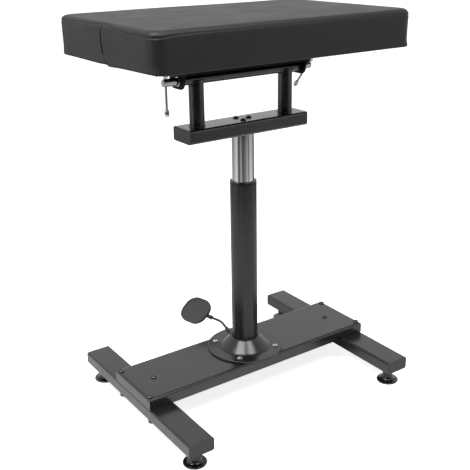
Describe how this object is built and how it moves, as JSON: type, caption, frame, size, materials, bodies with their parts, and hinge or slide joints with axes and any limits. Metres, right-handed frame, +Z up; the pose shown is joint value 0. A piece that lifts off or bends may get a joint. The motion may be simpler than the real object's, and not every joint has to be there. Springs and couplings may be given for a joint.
{
  "type": "arm rest stand",
  "caption": "Free-standing studio arm rest with a black padded top on a tilting bracket, a gas-lift column with foot pedal, and a wide steel base.",
  "frame": {"origin": "on the floor, under the axis of the column", "axes": "+Z is up, +X runs along the rest, +Y points to the back, where the pedal is"},
  "size_m": [0.6205, 0.472, 0.8699],
  "materials": {
    "powder_coat": "fine satin powder coat",
    "gloss_black": "gloss",
    "black_steel": "satin black",
    "zinc_steel": "zinc plated",
    "chrome": "polished",
    "brass": "turned",
    "black_plastic": "matte",
    "gloss_plastic": "gloss",
    "pedal_rubber": "matte",
    "plywood": "raw",
    "leather_cover": "soft satin grain over foam"
  },
  "bodies": {
    "base": {"base_plate": "powder_coat", "left_foot_tube": "powder_coat", "right_foot_tube": "powder_coat", "foot_tube_caps": "black_plastic", "foot_inserts": "zinc_steel", "plate_bolts": "black_steel", "plate_nuts": "black_steel", "column_flange": "gloss_black", "flange_screws": "zinc_steel", "flange_nuts": "zinc_steel", "outer_column": "powder_coat", "guide_bush": "black_plastic", "spring_seat": "zinc_steel", "pivot_pin": "zinc_steel", "thrust_washer": "brass"},
    "spring_rod": {"gas_spring_rod": "chrome", "rod_clip": "zinc_steel"},
    "release_pin": {"release_pin": "zinc_steel"},
    "pedal": {"release_rocker": "zinc_steel", "pedal_lever": "powder_coat", "lever_ferrule": "black_plastic", "pedal_clip": "black_plastic", "pedal_plate": "powder_coat", "pedal_pad": "pedal_rubber"},
    "lift": {"inner_column": "chrome", "glide_ring": "black_plastic", "column_head": "zinc_steel", "gas_spring_cylinder": "black_steel", "crossbar": "powder_coat", "crossbar_caps": "black_plastic", "crossbar_screws": "black_steel", "left_post": "powder_coat", "right_post": "powder_coat", "tilt_tube": "powder_coat", "tilt_tube_inserts": "zinc_steel"},
    "pad": {"tilt_bracket": "powder_coat", "bracket_screws": "zinc_steel", "board_tee_nuts": "zinc_steel", "pad_board": "plywood", "pad_cushion": "leather_cover"},
    "left_clamp": {"left_clamp_screw": "chrome", "left_clamp_washer": "zinc_steel"},
    "left_bar": {"left_cross_bar": "chrome", "left_cross_caps": "chrome"},
    "right_clamp": {"right_clamp_screw": "chrome", "right_clamp_washer": "zinc_steel"},
    "right_bar": {"right_cross_bar": "chrome", "right_cross_caps": "chrome"},
    "front_left_leveller": {"front_left_foot": "gloss_plastic", "front_left_stem": "zinc_steel"},
    "front_right_leveller": {"front_right_foot": "gloss_plastic", "front_right_stem": "zinc_steel"},
    "back_left_leveller": {"back_left_foot": "gloss_plastic", "back_left_stem": "zinc_steel"},
    "back_right_leveller": {"back_right_foot": "gloss_plastic", "back_right_stem": "zinc_steel"}
  },
  "joints": [
    {"name": "column_swivel", "type": "hinge", "parent": "base", "child": "spring_rod", "pos_m": [0, 0, 0.115], "axis": [0, 0, 1], "continuous": true},
    {"name": "height_slide", "type": "slide", "parent": "spring_rod", "child": "lift", "axis": [0, 0, 1], "range_m": [-0.1, 0.1]},
    {"name": "release_pin_slide", "type": "slide", "parent": "spring_rod", "child": "release_pin", "axis": [0, 0, 1], "range_m": [0, 0.003]},
    {"name": "pedal_press", "type": "hinge", "parent": "base", "child": "pedal", "pos_m": [-0.00363, 0.01455, 0.099], "axis": [0.9703, 0.2419, 0], "range_deg": [-6, 0], "stiffness_Nm_per_rad": 6, "springref_deg": 8.59},
    {"name": "pad_tilt", "type": "hinge", "parent": "lift", "child": "pad", "pos_m": [0, 0, 0.74], "axis": [1, 0, 0], "range_deg": [-40, 40]},
    {"name": "left_clamp_turn", "type": "hinge", "parent": "lift", "child": "left_clamp", "pos_m": [-0.17, 0, 0.74], "axis": [1, 0, 0], "range_deg": [-80, 80]},
    {"name": "right_clamp_turn", "type": "hinge", "parent": "lift", "child": "right_clamp", "pos_m": [0.17, 0, 0.74], "axis": [1, 0, 0], "range_deg": [-120, 40]},
    {"name": "left_bar_slide", "type": "slide", "parent": "left_clamp", "child": "left_bar", "axis": [0, 0, 1], "range_m": [0, 0.022]},
    {"name": "right_bar_slide", "type": "slide", "parent": "right_clamp", "child": "right_bar", "axis": [0, -0.6428, 0.766], "range_m": [0, 0.022]},
    {"name": "front_left_level", "type": "slide", "parent": "base", "child": "front_left_leveller", "axis": [0, 0, 1], "range_m": [-0.01, 0]},
    {"name": "front_right_level", "type": "slide", "parent": "base", "child": "front_right_leveller", "axis": [0, 0, 1], "range_m": [-0.01, 0]},
    {"name": "back_left_level", "type": "slide", "parent": "base", "child": "back_left_leveller", "axis": [0, 0, 1], "range_m": [-0.01, 0]},
    {"name": "back_right_level", "type": "slide", "parent": "base", "child": "back_right_leveller", "axis": [0, 0, 1], "range_m": [-0.01, 0]}
  ],
  "couplings": [
    {"joint": "release_pin_slide", "follows": "pedal_press", "m_per_rad": -0.0172}
  ]
}
